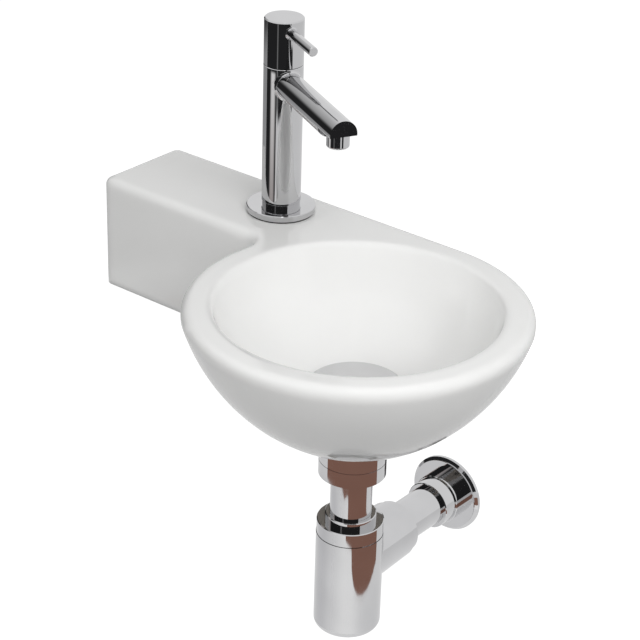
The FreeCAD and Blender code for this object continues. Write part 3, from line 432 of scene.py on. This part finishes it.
# screw thread of the tap's tail: a three-cornered ridge carried along a helix that climbs one
# pitch each turn; it rises out of the metal over the first turn and sinks back over the last
def makeTailThread(spec):
    mount = next(entry for entry in record["mounts"] if entry["name"] == spec["mount"])
    across, along, top = mount["pos_m"]
    radius, length = mount["dims"]["r_mm"] / 1000, mount["dims"]["length_mm"] / 1000
    turns = (length - 2 * spec["margin"]) / spec["pitch"]
    angle = np.linspace(0, turns * math.tau, int(turns * spec["steps"]))[:, None]
    grown = np.minimum(np.minimum(angle, angle[-1] - angle) / math.tau, 1.0)
    share = spec["startShare"] + (1 - spec["startShare"]) * grown
    ridge = radius - spec["sunk"] + (spec["sunk"] + spec["height"]) * share
    base = np.full_like(ridge, radius - spec["sunk"])
    reach = np.concatenate([base, ridge, base], axis=1)
    centre = top - length + spec["margin"] + angle / math.tau * spec["pitch"]
    height = centre + spec["pitch"] * spec["halfFoot"] * np.array([[1, 0, -1]])
    points = np.stack([
        across + reach * np.cos(angle), along + reach * np.sin(angle), height,
    ], axis=-1)
    ridges = sweptObject("tailThread", points, False, 0)
    ridges.data.materials.append(slotMaterials["brass"])
    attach(ridges, "basin_set")


for filletSpec in fillets:
    makeFillet(filletSpec, filletShape)
makeTailThread(tail)
print("fillets and thread made")


# studio: floor, world, lamps and reflection screens

studio = {
    "floorLevel": -1.25,
    "floorHalf": 12.0,
    "floorPoints": 3,  # along each side
    "floorColour": (0.55, 0.55, 0.55, 1),
    "floorGlow": {"camera": 0.85, "glossy": 0.55},  # emission on top of the lit floor
    "sky": {"camera": 1.0, "glossy": 0.9, "ambient": 0.365},
    "lampAim": (0.15, -0.1, 0.0),
    "lampSize": 1.0,
    "lamps": [
        {"name": "frontRight", "place": (1.95, -1.5, 0.9), "power": 6.7},
        {"name": "frontLeft", "place": (-0.9, -1.9, 0.7), "power": 8.2},
        {"name": "nearRight", "place": (1.0, -0.5, 1.0), "power": 10.6},
    ],
}


# quads of a grid of rows by columns, in row order
def gridFaces(rows, columns):
    first = (np.arange(rows - 1)[:, None] * columns + np.arange(columns - 1)).ravel()
    return np.stack([first, first + 1, first + columns + 1, first + columns], axis=1).tolist()


# strength for what the camera sees, for what is mirrored, and for all other light
def glowByRay(tree, camera, glossy, ambient=0.0):
    path = addNode(tree, "ShaderNodeLightPath")
    seen = mathNode(tree, "MAXIMUM", path.outputs["Is Camera Ray"], path.outputs["Is Transmission Ray"])
    direct = mathNode(tree, "MULTIPLY", seen, camera)
    mirrored = mathNode(tree, "MULTIPLY", path.outputs["Is Glossy Ray"], glossy)
    return mathNode(tree, "MAXIMUM", mathNode(tree, "MAXIMUM", direct, mirrored), ambient)


# a level square grid
def makeFloor(spec):
    count = spec["floorPoints"]
    side = np.linspace(-spec["floorHalf"], spec["floorHalf"], count)
    across, along = np.meshgrid(side, side)
    points = np.stack([across, along, np.full_like(across, spec["floorLevel"])], axis=-1)
    floor = meshObject("studioFloor", points, gridFaces(count, count))
    material, tree = newMaterial("studioFloor")
    tree.nodes.clear()
    diffuse = addNode(tree, "ShaderNodeBsdfDiffuse", {"Color": spec["floorColour"]})
    glow = addNode(tree, "ShaderNodeEmission", {"Strength": glowByRay(tree, **spec["floorGlow"])})
    both = addNode(tree, "ShaderNodeAddShader", {0: diffuse.outputs[0], 1: glow.outputs[0]})
    addNode(tree, "ShaderNodeOutputMaterial", {"Surface": both.outputs[0]})
    floor.data.materials.append(material)


def makeWorld(spec):
    world = bpy.data.worlds.new("studioWorld")
    world.use_nodes = True
    tree = world.node_tree
    tree.nodes.clear()
    sky = addNode(tree, "ShaderNodeBackground", {
        "Color": (1, 1, 1, 1), "Strength": glowByRay(tree, **spec["sky"]),
    })
    addNode(tree, "ShaderNodeOutputWorld", {"Surface": sky.outputs[0]})
    scene.world = world


def makeLamp(spec, aim, size):
    data = bpy.data.lights.new(spec["name"], "AREA")
    data.shape = "SQUARE"
    data.size = size
    data.energy = spec["power"]
    lamp = bpy.data.objects.new(spec["name"], data)
    heading = Vector(aim) - Vector(spec["place"])
    turn = heading.to_track_quat("-Z", "Y").to_matrix().to_4x4()
    lamp.matrix_world = Matrix.Translation(spec["place"]) @ turn
    lamp.visible_camera = False
    lamp.visible_glossy = False
    scene.collection.objects.link(lamp)


# standing screens that only reflections see: arcs of a cylinder between a bottom and a top
# edge, each edge a list of (angle, height); angles count from straight in front to the right;
# soft gives the share of the width and of the height over which the sides, the bottom and the
# top fade out; the colour changes from low to high on the way up
screenGrid = {"centre": (0.16, -0.1), "rows": 9, "columns": 121}
black = (0.021, 0.021, 0.022)
brown = (0.262, 0.138, 0.104)
lineGrey = (0.2, 0.2, 0.2)
warmWhite = (1.02, 1.02, 1.01)
glintWhite = (1.9, 1.9, 1.9)
screens = [
    {"name": "darkScreenLeft", "radius": 1.2, "low": black, "high": black, "soft": (0.05, 0.02, 0.3),
     "bottom": [(-74, -0.5), (-60, -0.53), (-20, -0.53), (-1, -0.5)],
     "top": [(-74, 1.2), (-1, 1.2)]},
    {"name": "streakScreen", "radius": 0.2, "low": (0.4, 0.36, 0.35), "high": (0.92, 0.91, 0.9),
     "soft": (0.35, 0.03, 0.03), "centre": tuple(columnAxis),
     "bottom": [(-38, -0.02), (1, -0.02)],
     "top": [(-38, 0.107), (1, 0.107)]},
    {"name": "lineScreen", "radius": 1.22, "low": lineGrey, "high": lineGrey, "soft": (0.1, 0.02, 0.1),
     "bottom": [(-4, -0.38), (5, -0.38)],
     "top": [(-4, 1.2), (5, 1.2)]},
    {"name": "darkScreenRight", "radius": 1.2, "low": black, "high": (0.03, 0.03, 0.03),
     "soft": (0.03, 0.01, 0.3),
     "bottom": [(2, -0.38), (62, -0.38), (64, -0.3), (83, -0.3)],
     "top": [(2, 1.2), (83, 1.2)]},
    {"name": "darkScreenLow", "radius": 1.21, "low": black, "high": black, "soft": (0.05, 0.05, 0.05),
     "bottom": [(76, -0.48), (95, -0.48)],
     "top": [(76, -0.27), (95, -0.27)]},
    {"name": "leftScreen", "radius": 1.25, "low": (0.42, 0.42, 0.43), "high": (0.3, 0.3, 0.3),
     "soft": (0.1, 0.05, 0.1),
     "bottom": [(-126, -0.56), (-70, -0.56)],
     "top": [(-126, -0.08), (-70, -0.08)]},
    {"name": "backScreen", "radius": 1.1, "low": black, "high": (0.02, 0.02, 0.02),
     "soft": (0.12, 0.1, 0.4),
     "bottom": [(236, -0.18), (294, -0.18)],
     "top": [(236, 0.5), (294, 0.5)]},
    {"name": "backScreenHigh", "radius": 1.12, "low": (0.2, 0.2, 0.2), "high": (0.75, 0.75, 0.75),
     "soft": (0.15, 0.1, 0.3),
     "bottom": [(236, 0.2), (294, 0.2)],
     "top": [(236, 1.0), (294, 1.0)]},
    {"name": "brownScreen", "radius": 1.2, "low": brown, "high": brown, "soft": (0.01, 0.02, 0.05),
     "bottom": [(-52, -0.81), (-50, -0.82), (-14, -0.82), (-8, -0.824), (2, -0.832), (12, -0.824),
                (18, -0.82), (24, -0.82), (26, -0.88), (46, -0.89), (48.5, -0.925), (56, -0.95),
                (62, -0.961), (70, -0.97), (87, -0.976), (105, -0.975), (118, -0.97), (128, -0.961),
                (135, -0.95), (139, -0.94)],
     "top": [(-52, -0.56), (126, -0.56), (128, -0.86), (139, -0.88)]},
    {"name": "bottleShade", "radius": 1.25, "low": (0.74, 0.74, 0.75), "high": (0.7, 0.7, 0.71),
     "soft": (0.45, 0.1, 0.2),
     "bottom": [(-130, -1.2), (-10, -1.2)],
     "top": [(-130, -0.84), (-10, -0.84)]},
    {"name": "bottleGlow", "radius": 1.28, "low": warmWhite, "high": warmWhite, "soft": (0.45, 0.1, 0.2),
     "bottom": [(-20, -1.2), (95, -1.2)],
     "top": [(-20, -0.84), (95, -0.84)]},
    {"name": "glintCard", "radius": 0.65, "low": glintWhite, "high": glintWhite, "soft": (0.2, 0.1, 0.1),
     "bottom": [(38, 1.1), (50, 1.1)],
     "top": [(38, 2.4), (50, 2.4)]},
]


# share of the screen that is solid, from its own place across and up
def softEdges(tree, across, up, soft):
    edges = [
        (across, soft[0]), (mathNode(tree, "SUBTRACT", 1.0, across), soft[0]),
        (up, soft[1]), (mathNode(tree, "SUBTRACT", 1.0, up), soft[2]),
    ]
    share = 1.0
    for value, width in edges:
        ramp = addNode(tree, "ShaderNodeMapRange", {
            "Value": value, "From Max": width,
        }, interpolation_type="SMOOTHSTEP")
        share = mathNode(tree, "MULTIPLY", share, ramp.outputs[0])
    return share


# the height runs straight from the bottom edge to the top edge at each angle round the centre;
# the screen's UV map is its own place, from 0 to 1 across and up
def makeScreen(spec, grid):
    low, high = np.array(spec["bottom"], float), np.array(spec["top"], float)
    angle = np.linspace(low[0, 0], low[-1, 0], grid["columns"])
    share = np.linspace(0, 1, grid["rows"])[:, None]
    height = np.interp(angle, *low.T) * (1 - share) + np.interp(angle, *high.T) * share
    turn = np.radians(np.broadcast_to(angle, height.shape))
    across, along = spec.get("centre", grid["centre"])
    points = np.stack([
        across + spec["radius"] * np.sin(turn), along - spec["radius"] * np.cos(turn), height,
    ], axis=-1)
    screen = meshObject(spec["name"], points, gridFaces(*height.shape))
    places = np.stack(np.broadcast_arrays(np.linspace(0, 1, len(angle)), share), axis=-1).reshape(-1, 2)
    corners = np.empty(len(screen.data.loops), dtype=np.int32)
    screen.data.loops.foreach_get("vertex_index", corners)
    layer = screen.data.uv_layers.new(name="place")
    layer.uv.foreach_set("vector", places[corners].astype(np.float32).ravel())
    material, tree = newMaterial(spec["name"])
    tree.nodes.clear()
    spot = splitVector(tree, addNode(tree, "ShaderNodeTexCoord").outputs["UV"])
    solid = softEdges(tree, spot["X"], spot["Y"], spec["soft"])
    colour = mixColours(tree, spot["Y"], (*spec["low"], 1), (*spec["high"], 1))
    glow = addNode(tree, "ShaderNodeEmission", {"Color": colour})
    clear = addNode(tree, "ShaderNodeBsdfTransparent")
    both = addNode(tree, "ShaderNodeMixShader", {0: solid, 1: clear.outputs[0], 2: glow.outputs[0]})
    addNode(tree, "ShaderNodeOutputMaterial", {"Surface": both.outputs[0]})
    screen.data.materials.append(material)
    for ray in ("camera", "diffuse", "transmission", "volume_scatter", "shadow"):
        setattr(screen, f"visible_{ray}", False)


makeFloor(studio)
makeWorld(studio)
for lampSpec in studio["lamps"]:
    makeLamp(lampSpec, studio["lampAim"], studio["lampSize"])
for screenSpec in screens:
    makeScreen(screenSpec, screenGrid)
print("studio ready")
